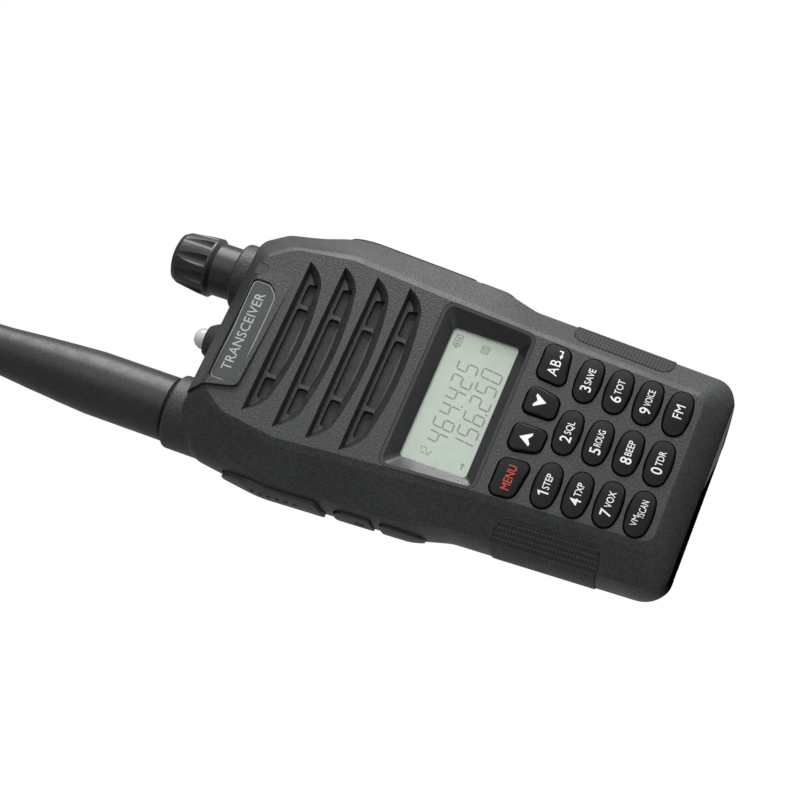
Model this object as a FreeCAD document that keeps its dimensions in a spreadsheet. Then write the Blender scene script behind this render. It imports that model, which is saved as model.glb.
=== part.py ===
import FreeCAD, Part
import math
import os
import re
import sys
import Sketcher
from FreeCAD import Placement, Rotation, Vector

# A handheld two-way radio standing on its base.  +Z runs up the body along the aerial, the face with
# the keys looks along -Y, and +X is to the right of someone reading the keys.  The origin is the
# middle of the base.  "depth" is measured backwards from the face.  Everything is in millimetres.

SIZES = [
    # outside of the body
    ("body_height", 112.0, "top deck above the base"),
    ("body_depth", 33.0, "face to the back of the battery"),
    ("base_half", 24.9, "half width at the base"),
    ("waist_half", 27.0, "half width just under the side step"),
    ("waist_level", 47.0, "height of the waist corner"),
    ("hip_half", 29.3, "half width just over the side step"),
    ("hip_level", 55.2, "height of the hip corner"),
    ("chest_half", 31.0, "half width at the widest place"),
    ("chest_drop", 22.0, "widest place below the top deck"),
    ("bevel_width", 7.2, "sloping border between the face and the sides"),
    ("bevel_depth", 5.5, "how far back that border runs"),
    ("belly_depth", 13.0, "depth at which the body is widest"),
    ("split_depth", 20.6, "parting plane of front case and rear chassis"),
    ("front_wall", 3.0, "wall behind the face"),
    ("side_wall", 2.0, "wall of the sides"),
    ("fit_gap", 0.3, "clearance round pieces that move"),
    ("seat_gap", 0.1, "clearance round pieces that are fixed"),
    ("running_gap", 0.05, "radial clearance of a shaft in its hole"),
    # turned pieces on the top deck
    ("deck_depth", 14.0, "depth of the line through aerial, torch and knob"),
    ("boss_rise", 3.3, "bosses above the top deck"),
    ("aerial_side", 19.5, "aerial left of the middle"),
    ("aerial_boss_radius", 8.45, "boss under the aerial"),
    ("aerial_length", 150.0, "sleeve of the aerial"),
    ("aerial_radius", 7.35, "sleeve at its foot"),
    ("aerial_tip_radius", 3.6, "sleeve at its tip"),
    ("aerial_bore", 4.5, "hollow foot of the sleeve"),
    ("socket_radius", 3.15, "threaded aerial socket"),
    ("knob_side", 16.3, "knob right of the middle"),
    ("knob_boss_radius", 7.8, "boss under the knob"),
    ("knob_height", 15.2, "knob from its foot to its top"),
    ("knob_neck_radius", 6.1, "smooth neck of the knob"),
    ("knob_radius", 6.9, "fluted grip at its foot"),
    ("knob_neck_height", 5.0, "smooth neck under the grip"),
    ("knob_flutes", 10.0, "flutes round the grip"),
    ("shaft_radius", 3.0, "control shaft"),
    ("torch_side", 1.05, "torch left of the middle"),
    ("torch_radius", 2.5, "torch lamp"),
    # keypad
    ("key_width", 10.35, "oval key cap"),
    ("key_tall", 5.35, "oval key cap"),
    ("key_pitch", 6.7, "row spacing"),
    ("key_first_row", 30.0, "height of the first row of digits"),
    ("key_column_gap", 2.35, "room between two caps of the first row of digits"),
    ("key_column_taper", 0.23, "side columns closer by this in each row down"),
    ("key_rise", 0.8, "caps above the face"),
    ("key_dome_radius", 32.0, "crown of a cap"),
    ("key_travel", 0.8, "caps pressed in"),
    ("key_flange", 0.6, "rim that holds a cap behind the wall"),
    ("command_row", 37.9, "height of the row of command keys"),
    ("command_tall", 6.4, "command key cap"),
    # display
    ("display_level", 54.55, "middle height of the display frame"),
    ("display_tall", 21.5, "display frame"),
    ("display_top_half", 20.6, "display frame, half width at its top"),
    ("display_bottom_half", 19.2, "display frame, half width at its bottom"),
    ("screen_half", 15.9, "visible screen, half width"),
    ("screen_tall", 14.7, "visible screen"),
    ("screen_depth", 2.7, "screen behind the face"),
    # loudspeaker louvres
    ("louvre_top", 97.1, "straight edge of the top louvre"),
    ("louvre_pitch", 7.7, "louvre spacing"),
    ("louvre_half", 20.4, "half length of a louvre"),
    ("louvre_tall", 6.1, "louvre from edge to edge"),
    ("louvre_depth", 1.9, "louvre into the wall"),
    ("speaker_radius", 18.0, "loudspeaker"),
    ("speaker_level", 85.0, "height of the loudspeaker's axis"),
    # sides
    ("ptt_low", 74.5, "talk button, lower edge"),
    ("ptt_high", 98.6, "talk button, upper edge"),
    ("ptt_rise", 0.9, "talk button above the side"),
    ("grip_low", 14.6, "rubber grip, lower edge"),
    ("grip_high", 37.3, "rubber grip, upper edge"),
    ("grip_sink", 1.2, "rubber grip into the wall"),
    ("grip_rise", 0.3, "rubber grip above the wall"),
    ("flap_low", 62.5, "jack cover, hinged edge"),
    ("flap_high", 93.5, "jack cover, free edge"),
    ("flap_rise", 0.6, "jack cover above the side"),
    ("flap_sink", 1.0, "jack cover into the wall"),
    ("jack_pitch", 11.0, "spacing of the two accessory jacks"),
    ("large_jack_radius", 1.8, "bore for a 3.5 mm plug"),
    ("small_jack_radius", 1.3, "bore for a 2.5 mm plug"),
    # inside
    ("mat_gap", 0.4, "keypad mat behind the rims of pressed keys"),
    ("mat_thick", 0.8, "keypad mat"),
    ("board_half", 20.5, "main board, half width"),
    ("board_gap", 1.5, "main board behind the keypad board"),
    ("board_thick", 1.2, "circuit boards"),
    ("board_low", 8.5, "boards, lower edge"),
    ("board_high", 93.0, "main board, upper edge"),
    ("plate_thick", 3.4, "cast plate of the chassis"),
    # battery and its lock
    ("battery_top", 88.0, "battery above the base"),
    ("battery_wall", 2.0, "battery case wall"),
    ("rail_side", 15.0, "battery rails from the middle"),
    ("rail_neck", 2.0, "width of a rail's neck"),
    ("rail_head", 4.2, "width of a rail's head"),
    ("rail_layer", 1.1, "thickness of a rail's head"),
    ("cell_half", 15.5, "lithium cell, half width"),
    ("cell_tall", 38.0, "lithium cell"),
    ("cell_thick", 7.8, "lithium cell"),
    ("striker_half", 4.0, "striker on the battery, half width"),
    ("striker_rise", 3.4, "striker above the battery"),
    ("lock_travel", 1.8, "lock slides sideways"),
    ("clip_pitch", 24.0, "spacing of the belt clip's screw holes"),
    ("clip_hole_radius", 1.05, "tapped hole for an M2.5 screw"),
    ("clip_level", 102.0, "height of the belt clip's holes"),
]

doc = FreeCAD.newDocument("handheld_radio")
sheet = doc.addObject("Spreadsheet::Sheet", "Sizes")
for row, (alias, amount, note) in enumerate(SIZES, start=1):
    sheet.set(f"A{row}", alias)
    sheet.set(f"B{row}", str(amount))
    sheet.setAlias(f"B{row}", alias)
    sheet.set(f"C{row}", note)
doc.recompute()
ALIASES = {alias for alias, _, _ in SIZES}
pieces = {}


def expression(words):
    """The words with every sheet alias written as a reference to the sheet."""
    return re.sub(r"[a-z_]+", lambda m: "Sizes." + m[0] if m[0] in ALIASES else m[0], str(words))


def size(words):
    """The number that an expression of sheet aliases comes to."""
    return float(sheet.evalExpression(expression(words)))


def bind(thing, **properties):
    for name, words in properties.items():
        thing.setExpression(name, expression(words))


def place(thing, x, depth, z, turn=None):
    """Put a primitive's own origin at x, depth behind the face and height z."""
    if turn:
        thing.Placement = Placement(Vector(), turn)
    thing.setExpression("Placement.Base.x", expression(x))
    thing.setExpression("Placement.Base.y", expression(f"{depth} - body_depth / 2"))
    thing.setExpression("Placement.Base.z", expression(z))


def box(name, x, depth, z, wide, deep, tall):
    thing = doc.addObject("Part::Box", name)
    bind(thing, Length=wide, Width=deep, Height=tall)
    place(thing, x, depth, z)
    return thing


ALONG = {"z": None, "y": Rotation(Vector(1, 0, 0), -90), "x": Rotation(Vector(0, 1, 0), 90)}


def rod(name, radius, length, x, depth, z, along="z"):
    thing = doc.addObject("Part::Cylinder", name)
    bind(thing, Radius=radius, Height=length)
    place(thing, x, depth, z, ALONG[along])
    return thing


def fuse(name, *parts):
    thing = doc.addObject("Part::MultiFuse", name)
    thing.Shapes = list(parts)
    return thing


def group(name, *parts):
    thing = doc.addObject("Part::Compound", name)
    thing.Links = list(parts)
    return thing


def cut(name, base, *tools):
    thing = doc.addObject("Part::Cut", name)
    thing.Base = base
    thing.Tool = tools[0] if len(tools) == 1 else fuse(name + "_tools", *tools)
    return thing


def piece(label, thing):
    """Name a finished piece: its label is its node's name."""
    thing.Label = label
    pieces[label] = thing
    return thing


def shaped(label, shape):
    """A piece whose shape is worked out in code from the sheet's sizes."""
    thing = doc.addObject("Part::Feature", label)
    thing.Shape = shape
    thing.Placement = Placement()
    return piece(label, thing)


# ---------------------------------------------------------------- outlines


def at(x, depth, z):
    return Vector(x, depth - size("body_depth") / 2, z)


def rounded(corners, depth):
    """A closed wire round corners (x, z, radius) in the plane at one depth."""
    points = [at(x, depth, z) for x, z, _ in corners]
    bends = []
    for i, corner in enumerate(corners):
        back = (points[i - 1] - points[i]).normalize()
        ahead = (points[(i + 1) % len(points)] - points[i]).normalize()
        half = back.getAngle(ahead) / 2
        reach = corner[2] / math.tan(half)
        apex = points[i] + (back + ahead).normalize() * (corner[2] / math.sin(half) - corner[2])
        bends.append((points[i] + back * reach, apex, points[i] + ahead * reach))
    edges = []
    for i, bend in enumerate(bends):
        edges.append(Part.Arc(*bend).toShape())
        edges.append(Part.makeLine(bend[2], bends[(i + 1) % len(bends)][0]))
    return Part.Wire(edges)


def mirrored(half):
    return half + [(-x, z, radius) for x, z, radius in reversed(half)]


def grown(corners, amount):
    """The same outline moved outwards by amount (inwards if negative)."""
    moved = []
    for i, (x, z, radius) in enumerate(corners):
        x0, z0, _ = corners[i - 1]
        x1, z1, _ = corners[(i + 1) % len(corners)]
        back = Vector(x - x0, 0, z - z0).normalize()
        ahead = Vector(x1 - x, 0, z1 - z).normalize()
        out_back = Vector(back.z, 0, -back.x)
        out_ahead = Vector(ahead.z, 0, -ahead.x)
        shift = (out_back + out_ahead) * (amount / (1 + out_back.dot(out_ahead)))
        convex = back.z * ahead.x - back.x * ahead.z < 0
        moved.append((x + shift.x, z + shift.z, max(0.4, radius + (amount if convex else -amount))))
    return moved


def slab(corners, front, back):
    """A flat plate with a given outline between two depths."""
    return Part.Face(rounded(corners, front)).extrude(Vector(0, back - front, 0))


HEIGHT = size("body_height")
DEPTH = size("body_depth")
SPLIT = size("split_depth")
GAP = size("fit_gap")
SEAT = size("seat_gap")

BASE_TRIM = 0.6  # the loft runs this far below the base, and is cut off flat there
belly = mirrored([
    (size("base_half"), -BASE_TRIM, 6.5),
    (size("waist_half"), size("waist_level"), 9.0),
    (size("hip_half"), size("hip_level"), 9.0),
    (size("chest_half"), size("body_height - chest_drop"), 30.0),
    (size("chest_half - 2.3"), HEIGHT - 6.0, 5.0),
    (size("chest_half - 6.0"), HEIGHT, 3.0),
])
rim = mirrored([
    (size("base_half + 0.1"), 0.8 - BASE_TRIM, 5.0),
    (size("waist_half - 0.1"), size("waist_level"), 9.0),
    (size("hip_half - 0.1"), size("hip_level"), 9.0),
    (size("chest_half - 0.2"), size("body_height - chest_drop"), 26.0),
    (size("chest_half - 6.8"), HEIGHT - 4.0, 6.0),
    (size("chest_half - 10.2"), HEIGHT - 0.6, 3.0),
])
face = mirrored([
    (size("base_half - bevel_width"), 5.0, 3.0),
    (size("waist_half - bevel_width"), size("waist_level + 0.5"), 30.0),
    (size("hip_half - bevel_width - 1.6"), size("hip_level + 1.4"), 30.0),
    (size("chest_half - bevel_width - 0.7"), size("body_height - chest_drop - 2.0"), 14.0),
    (size("chest_half - bevel_width - 2.6"), HEIGHT - 10.5, 8.0),
    (size("chest_half - bevel_width - 6.8"), HEIGHT - 4.7, 3.0),
])


def between(near, far, share):
    """The outline a share of the way from one outline to the next."""
    return [tuple(a + (b - a) * share for a, b in zip(first, last)) for first, last in zip(near, far)]


def drawn_in(amount):
    """The belly outline with its sides moved in by amount, and its two ends by less."""
    moved = []
    for x, z, radius in belly:
        if z < 0:
            z += 0.3 * amount
        elif z > HEIGHT - 7:
            z -= 0.45 * amount
        moved.append((x - math.copysign(amount, x), z, radius))
    return moved


SPLIT_INSET = 2.2


def inset_at(depth):
    """How far the sides have moved in between the belly and the parting plane."""
    belly_depth = size("belly_depth")
    return SPLIT_INSET * (depth - belly_depth) / (SPLIT - belly_depth)


def body_skin(offset):
    """The whole outside of the body, moved outwards by offset all round its sides."""
    near = size("bevel_depth")
    wide = size("belly_depth")
    eased = 0.7
    bevel = Part.makeLoft([
        rounded(grown(face, offset - 0.55), 0),
        rounded(grown(face, offset - 0.1), 0.2),
        rounded(grown(between(face, rim, eased / near), offset), eased),
        rounded(grown(rim, offset), near),
    ], True, True)
    levels = [rounded(grown(rim, offset), near), rounded(grown(belly, offset), wide)]
    rear = ((SPLIT_INSET, SPLIT), (5.2, DEPTH - 6.0), (7.1, DEPTH - 2.4), (8.3, DEPTH - 0.7), (9.6, DEPTH))
    for inset, depth in rear:
        levels.append(rounded(grown(drawn_in(inset), offset), depth))
    return bevel.fuse(Part.makeLoft(levels, True, False)).Solids[0]


BEVEL_INSET = 3.6  # keeps the wall behind the sloping border as thick as the others


def cavity(offset, back):
    """The hollow of the body: offset inside the sides, behind the front wall, as far as back."""
    wall = size("front_wall")
    near = size("bevel_depth")
    levels = [
        rounded(grown(rim, offset - BEVEL_INSET), wall),
        rounded(grown(rim, offset), near + 1.5),
        rounded(grown(belly, offset), size("belly_depth")),
        rounded(grown(drawn_in(inset_at(back)), offset), back),
    ]
    return Part.makeLoft(levels, True, True)


FAR = 90.0


def upright(x, depth, radius, low, high):
    return Part.makeCylinder(radius, high - low, at(x, depth, low))


def block(x0, x1, front, back, z0, z1):
    return Part.makeBox(x1 - x0, back - front, z1 - z0, at(x0, front, z0))


def side_prism(outline, side):
    """A bar along X through one side wall; the outline's corners are (depth, z, radius)."""
    flat = rounded([(depth, z, radius) for depth, z, radius in outline], 0)
    flat.translate(Vector(0, size("body_depth") / 2, 0))
    flat.rotate(Vector(), Vector(0, 0, 1), 90)
    bar = Part.Face(flat).extrude(Vector(side * FAR, 0, 0))
    bar.translate(Vector(0, -size("body_depth") / 2, 0))
    return bar


# ---------------------------------------------------------------- outside pieces of the body

DECK = size("deck_depth")
BOSS_TOP = size("body_height + boss_rise")
AERIAL_X = -size("aerial_side")
KNOB_X = size("knob_side")
TORCH_X = -size("torch_side")

outside = body_skin(0.0).common(block(-FAR, FAR, -1, DEPTH + 1, 0, 2 * HEIGHT))
for boss_x, boss_radius in ((AERIAL_X, size("aerial_boss_radius")), (KNOB_X, size("knob_boss_radius"))):
    boss = upright(boss_x, DECK, boss_radius, HEIGHT - 12, BOSS_TOP)
    boss = boss.makeFillet(0.9, [e for e in boss.Edges if abs(e.BoundBox.ZMin - BOSS_TOP) < 0.001])
    outside = outside.fuse(boss)

# The name panel leans out of the face: most at its left edge, and not at all at its right end.
PANEL_RIGHT = 14.0
PANEL_TILT = 1.72
panel = [
    (-14.6, HEIGHT - 11.9, 1.6), (PANEL_RIGHT, HEIGHT - 13.2, 1.0),
    (PANEL_RIGHT, HEIGHT + 3, 1.0), (-18.2, HEIGHT + 3, 1.0),
]
leaning = body_skin(0.0)
leaning.rotate(at(PANEL_RIGHT, 0, 0), Vector(0, 0, 1), PANEL_TILT)
outside = outside.fuse(slab(panel, -2, 6).common(leaning))

hollow = cavity(-size("side_wall"), SPLIT + 1)
front_half = block(-FAR, FAR, -1, SPLIT, -1, 2 * HEIGHT)
front_case = outside.common(front_half).cut(hollow)

# The deck carries the aerial socket, the torch and the volume control.
NUT_THICK = 2.2
bores = ((AERIAL_X, size("socket_radius + fit_gap")), (KNOB_X, 3.7), (
    TORCH_X, size("torch_radius + fit_gap")))
for x, radius in bores:
    front_case = front_case.cut(upright(x, DECK, radius, HEIGHT - 9, BOSS_TOP + 1))
for x in (AERIAL_X, KNOB_X):
    front_case = front_case.cut(upright(x, DECK, 5.6, BOSS_TOP - NUT_THICK - GAP, BOSS_TOP + 1))
CONTROL_RADIUS = 5.6
CONTROL_FOOT = "body_height - 9.5"
CONTROL_TOP = "body_height - 3.2"
front_case = front_case.cut(
    upright(KNOB_X, DECK, CONTROL_RADIUS + SEAT, size(CONTROL_FOOT) - SEAT, size(CONTROL_TOP) + SEAT))
HOLDER_RADIUS = 5.0
front_case = front_case.cut(upright(TORCH_X, DECK, HOLDER_RADIUS + SEAT, HEIGHT, BOSS_TOP + 1))
front_case = front_case.cut(upright(AERIAL_X, DECK, 7.0, HEIGHT - 16, HEIGHT - 3))


def louvre(half_length, top, shrink, depth):
    """Outline of a louvre: straight upper edge, pointed ends, bowed lower edge."""
    low = top - size("louvre_tall") + 1.7 * shrink
    end = half_length - 1.7 * shrink
    foot = low + 1.5
    top = top - 0.4 * shrink
    points = {
        "left": at(-end, depth, top), "right": at(end, depth, top),
        "left_foot": at(5.2 - end, depth, foot), "right_foot": at(end - 5.2, depth, foot),
        "left_bow": at(2.0 - end, depth, (top + foot) / 2 - 0.5),
        "right_bow": at(end - 2.0, depth, (top + foot) / 2 - 0.5),
    }
    return Part.Wire([
        Part.makeLine(points["right"], points["left"]),
        Part.Arc(points["left"], points["left_bow"], points["left_foot"]).toShape(),
        Part.Arc(points["left_foot"], at(0, depth, low), points["right_foot"]).toShape(),
        Part.Arc(points["right_foot"], points["right_bow"], points["right"]).toShape(),
    ])


LOUVRES = 4
RIB = 0.9
for row in range(LOUVRES):
    top = size("louvre_top") - row * size("louvre_pitch")
    half = size("louvre_half") - (1.4 if row == 0 else 0.0)
    sink = size("louvre_depth")
    front_case = front_case.cut(
        Part.makeLoft([louvre(half, top, -0.15, -0.2), louvre(half, top, 1.1, sink)], True, True))
    for x0, x1 in ((-half + 4.4, -8.4 - RIB), (-8.4, 8.4), (8.4 + RIB, half - 4.4)):
        corners = [(x0, top - 3.7, 0.7), (x1, top - 3.7, 0.7), (x1, top - 1.2, 0.7), (x0, top - 1.2, 0.7)]
        front_case = front_case.cut(slab(corners, 0, size("front_wall") + 1))


label_outline = [
    (-12.2, HEIGHT - 10.9, 3.0), (-1.6, HEIGHT - 11.4, 20.0), (9.0, HEIGHT - 10.9, 3.0),
    (11.0, HEIGHT - 8.6, 1.6), (11.0, HEIGHT - 4.9, 1.0), (-14.3, HEIGHT - 4.9, 1.0),
    (-14.3, HEIGHT - 8.6, 1.6),
]
LABEL_FLOOR = 1.2
front_case = front_case.cut(slab(grown(label_outline, SEAT), -2, LABEL_FLOOR))
shaped("label_plate", slab(label_outline, 0.35, LABEL_FLOOR))

lamp_outline = [
    (12.2, HEIGHT - 6.8, 1.3), (15.0, HEIGHT - 6.8, 1.3), (15.0, HEIGHT - 4.2, 0.4),
    (12.2, HEIGHT - 4.2, 0.4),
]
front_case = front_case.cut(slab(grown(lamp_outline, SEAT), -2, 6))
shaped("status_lens", slab(lamp_outline, 0.1, 4.5))

# ---------------------------------------------------------------- keys

WIDE = size("key_width")
TALL = size("key_tall")


def oval(x, z, extra, depth):
    """Closed oval round a key: bowed long sides and round ends."""
    a = WIDE / 2 + extra
    b = TALL / 2 + extra
    shoulder_x = WIDE * 0.30
    shoulder_z = b * 0.88
    corner = [
        at(x + i * shoulder_x, depth, z + j * shoulder_z) for i, j in ((1, 1), (-1, 1), (-1, -1), (1, -1))]
    return Part.Wire([
        Part.Arc(corner[0], at(x, depth, z + b), corner[1]).toShape(),
        Part.Arc(corner[1], at(x - a, depth, z), corner[2]).toShape(),
        Part.Arc(corner[2], at(x, depth, z - b), corner[3]).toShape(),
        Part.Arc(corner[3], at(x + a, depth, z), corner[0]).toShape(),
    ])


def command_outline(kind, side, extra, depth):
    """Closed outline of a key of the command row: outer keys are wide, arrow keys are waisted below."""
    z = size("command_row")
    high = size("command_tall") / 2
    if kind == "outer":
        corners = [
            (9.2, z - high - 0.4, 1.6), (18.1, z - high + 0.9, 2.2), (18.5, z + high, 1.8),
            (9.9, z + high, 1.8),
        ]
    else:
        corners = [
            (1.3, z - high - 1.0, 1.6), (6.6, z - high - 0.8, 2.0), (8.1, z + high, 1.9),
            (1.3, z + high - 0.1, 1.6),
        ]
    corners = grown(corners, extra)
    if side < 0:
        corners = [(-x, z, radius) for x, z, radius in reversed(corners)]
    return rounded(corners, depth)


KEY_RIM = 0.5


def key_cap(outline, x, z):
    """A domed cap with an eased edge and a thin rim behind the wall."""
    rise = -size("key_rise")
    wall = size("front_wall + seat_gap")
    rim_back = wall + size("key_flange")
    dome = size("key_dome_radius")
    eased = [
        (0.0, rim_back), (0.0, rise + 0.62), (-0.07, rise + 0.42), (-0.2, rise + 0.24), (-0.42, rise + 0.12),
        (-1.0, rise - 0.2),
    ]
    cap = Part.makeLoft([outline(inset, depth) for inset, depth in eased], True, True)
    cap = cap.common(Part.makeSphere(dome, at(x, rise + dome, z)))
    return cap.fuse(Part.Face(outline(KEY_RIM, wall)).extrude(Vector(0, rim_back - wall, 0))).removeSplitter()


keys = {}
for row, names in enumerate((("1", "2", "3"), ("4", "5", "6"), ("7", "8", "9"), ("scan", "0", "fm"))):
    key_z = size("key_first_row") - row * size("key_pitch")
    column = size("key_width + key_column_gap") - row * size("key_column_taper")
    for name, key_x in zip(names, (-column, 0.0, column)):
        keys["key_" + name] = (
            lambda extra, depth, x=key_x, z=key_z: oval(x, z, extra, depth), key_x, key_z)
for name, kind, side, key_x in (
    ("menu", "outer", -1, -13.6), ("up", "arrow", -1, -4.4), ("down", "arrow", 1, 4.4),
    ("ab", "outer", 1, 13.6),
):
    keys["key_" + name] = (
        lambda extra, depth, kind=kind, side=side: command_outline(kind, side, extra, depth),
        key_x, size("command_row"))

for name, (outline, key_x, key_z) in keys.items():
    shaped(name, key_cap(outline, key_x, key_z))
    hole = Part.Face(outline(GAP, -1)).extrude(Vector(0, 8, 0))
    front_case = front_case.cut(hole)

# ---------------------------------------------------------------- display frame and screen

MIDDLE = size("display_level")
frame_high = MIDDLE + size("display_tall") / 2
frame_low = MIDDLE - size("display_tall") / 2
frame_outline = [
    (size("display_bottom_half"), frame_low, 2.4), (size("display_top_half"), frame_high, 2.4),
    (-size("display_top_half"), frame_high, 2.4), (-size("display_bottom_half"), frame_low, 2.4),
]
SCREEN_HALF = size("screen_half")
screen_high = MIDDLE - 0.1 + size("screen_tall") / 2
screen_low = MIDDLE - 0.1 - size("screen_tall") / 2
screen_outline = [
    (SCREEN_HALF, screen_low, 0.7), (SCREEN_HALF, screen_high, 0.7),
    (-SCREEN_HALF, screen_high, 0.7), (-SCREEN_HALF, screen_low, 0.7),
]
FRAME_BACK = size("front_wall") + 0.6
WINDOW_THICK = 0.8
front_case = front_case.cut(slab(grown(frame_outline, SEAT), -1, size("front_wall") + 1))
sight = Part.makeLoft([
    rounded(grown(frame_outline, -0.7), 0.0),
    rounded(grown(screen_outline, 0.2), size("screen_depth"))], True, True)
frame_solid = slab(frame_outline, 0.05, FRAME_BACK).cut(sight)
frame_solid = frame_solid.cut(slab(screen_outline, -1, FRAME_BACK + 1))
window_outline = grown(screen_outline, 0.9)
frame_solid = frame_solid.cut(slab(grown(window_outline, SEAT), size("screen_depth"), FRAME_BACK + 1))
shaped("display_frame", frame_solid)
shaped("display_window", slab(window_outline, size("screen_depth"), size("screen_depth") + WINDOW_THICK))

# ---------------------------------------------------------------- sides

outer_plus = {rise: body_skin(size(rise)) for rise in ("ptt_rise", "grip_rise", "flap_rise")}
SIDE_KEY_BACK = 16.2
talk_outline = [
    (SIDE_KEY_BACK, size("ptt_low") - 0.4, 1.5), (SIDE_KEY_BACK, size("ptt_high"), 2.0),
    (10.6, size("ptt_high"), 3.0),
    (7.7, size("ptt_high") - 7.0, 8.0), (7.7, size("ptt_low") + 1.0, 1.2),
]
upper_key_outline = [
    (SIDE_KEY_BACK, 63.2, 0.8), (SIDE_KEY_BACK, 71.8, 1.6), (8.4, 71.8, 2.4), (8.4, 63.6, 0.6)]
lower_key_outline = [
    (SIDE_KEY_BACK, 51.8, 1.6), (SIDE_KEY_BACK, 61.2, 0.8), (8.6, 61.2, 0.8), (9.0, 52.0, 4.6)]


def side_button(outline, side, rise_name):
    """A button through a side wall: its outer face follows the body, a rim holds it behind the wall."""
    wall = size("side_wall")
    stem = side_prism(outline, side).common(outer_plus[rise_name]).cut(cavity(-wall - 1.2, SPLIT))
    rim_bar = side_prism(grown(outline, 0.8), side)
    flange = rim_bar.common(cavity(-wall - 0.4, SPLIT - 0.5)).cut(cavity(-wall - 1.2, SPLIT))
    return stem.fuse(flange).removeSplitter()


LEFT = -1
RIGHT = 1
for name, outline, rise in (
    ("ptt_button", talk_outline, "ptt_rise"),
    ("side_button_upper", upper_key_outline, "flap_rise"),
    ("side_button_lower", lower_key_outline, "flap_rise"),
):
    shaped(name, side_button(outline, LEFT, rise))
    front_case = front_case.cut(side_prism(grown(outline, GAP), LEFT).common(outer_plus["ptt_rise"]))


def inlay(outline, side, rise_name, sink):
    """A pad let into a side wall, following the body, and the recess that it sits in."""
    core = body_skin(-sink)
    pad = side_prism(outline, side).common(outer_plus[rise_name]).cut(core)
    recess = side_prism(grown(outline, SEAT), side).common(outer_plus["ptt_rise"]).cut(
        body_skin(-sink - SEAT))
    return pad, recess


grip_outline = [
    (18.6, size("grip_low"), 2.4), (18.6, size("grip_high"), 2.4),
    (2.0, size("grip_high"), 2.4), (2.0, size("grip_low"), 2.4),
]
flap_outline = [
    (18.0, size("flap_low"), 1.0), (18.0, size("flap_high"), 3.0),
    (6.6, size("flap_high"), 3.0), (6.6, size("flap_low"), 1.0),
]
anchor_outline = [
    (17.4, 52.6, 2.0), (17.4, size("flap_low") - 0.8, 0.8), (7.2, size("flap_low") - 0.8, 0.8),
    (7.2, 52.6, 2.0),
]
for name, outline, side, rise, sink in (
    ("grip_left", grip_outline, LEFT, "grip_rise", size("grip_sink")),
    ("grip_right", grip_outline, RIGHT, "grip_rise", size("grip_sink")),
    ("jack_cover", flap_outline, RIGHT, "flap_rise", size("flap_sink")),
    ("jack_cover_anchor", anchor_outline, RIGHT, "flap_rise", size("flap_sink")),
):
    pad, recess = inlay(outline, side, rise, sink)
    shaped(name, pad)
    front_case = front_case.cut(recess)

# ---------------------------------------------------------------- accessory jacks behind the cover

JACK_DEPTH = 13.2
jack_mouth = size("chest_half") - 3.2
jacks = []
jack_kinds = ((0.5, "large_jack_radius", 2.9, "large"), (-0.5, "small_jack_radius", 2.4, "small"))
for step, bore, barrel, name in jack_kinds:
    level = f"(flap_low + flap_high) / 2 + {step} * jack_pitch"
    body = rod(name + "_jack_body", barrel, 7.0, f"{jack_mouth} - 7.0", JACK_DEPTH, level, "x")
    hole = rod(name + "_jack_bore", bore, 6.0, f"{jack_mouth} - 6.0", JACK_DEPTH, level, "x")
    jacks.append(cut(name + "_jack", body, hole))
    front_case = front_case.cut(Part.makeCylinder(
        barrel + SEAT, 8.0, at(jack_mouth - 7, JACK_DEPTH, size(level)), Vector(1, 0, 0)))
piece("accessory_jacks", group("AccessoryJacks", *jacks))

# ---------------------------------------------------------------- rear chassis

PLATE_FRONT = size("split_depth - plate_thick")
BATTERY_TOP = size("battery_top")
rear_half = block(-FAR, FAR, SPLIT, DEPTH + 1, -1, 2 * HEIGHT)
rear_outside = outside.common(rear_half)
head = rear_outside.common(block(-FAR, FAR, SPLIT, DEPTH + 1, BATTERY_TOP + GAP, 2 * HEIGHT))
SEAL = 1.2
plate = cavity(-size("side_wall") - SEAL, SPLIT).common(
    block(-FAR, FAR, PLATE_FRONT, SPLIT, -1, BATTERY_TOP + 6))
chassis = head.fuse(plate).removeSplitter()
chassis = chassis.cut(block(-19, 19, SPLIT - 5, DEPTH - 5.0, BATTERY_TOP + 9.5, HEIGHT - 5))

SCREW_X = 10.0
SCREW_Z = 4.6


def rail_solid(side, clearance, low, high):
    """A T-shaped rail, neck against the battery and head in the chassis, with a clearance all round."""
    middle = side * size("rail_side")
    neck = size("rail_neck") / 2 + clearance
    outer = size("rail_head") / 2 + clearance
    layer = size("rail_layer")
    stem = block(middle - neck, middle + neck, SPLIT - 2 * layer, SPLIT + 2 * GAP, low, high)
    top = block(
        middle - outer, middle + outer, SPLIT - 2 * layer - clearance, SPLIT - layer + clearance, low, high)
    return stem.fuse(top).removeSplitter()


for side in (LEFT, RIGHT):
    groove = rail_solid(side, GAP, -1, BATTERY_TOP - 3)
    chassis = chassis.cut(groove)
    front_case = front_case.cut(groove)
    chassis = chassis.cut(
        Part.makeCylinder(1.2, 8, at(side * SCREW_X, PLATE_FRONT - 2, SCREW_Z), Vector(0, 1, 0)))
    chassis = chassis.cut(
        Part.makeCylinder(2.1, 3, at(side * SCREW_X, SPLIT - 1.4, SCREW_Z), Vector(0, 1, 0)))
    post = Part.makeCylinder(2.0, PLATE_FRONT - 4, at(side * SCREW_X, 4, SCREW_Z), Vector(0, 1, 0))
    front_case = front_case.fuse(post)
    front_case = front_case.cut(
        Part.makeCylinder(1.0, 9, at(side * SCREW_X, PLATE_FRONT - 8, SCREW_Z), Vector(0, 1, 0)))
    clip_x = side * size("clip_pitch") / 2
    chassis = chassis.cut(Part.makeCylinder(
        size("clip_hole_radius"), 6, at(clip_x, DEPTH - 5, size("clip_level")), Vector(0, 1, 0)))

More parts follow.
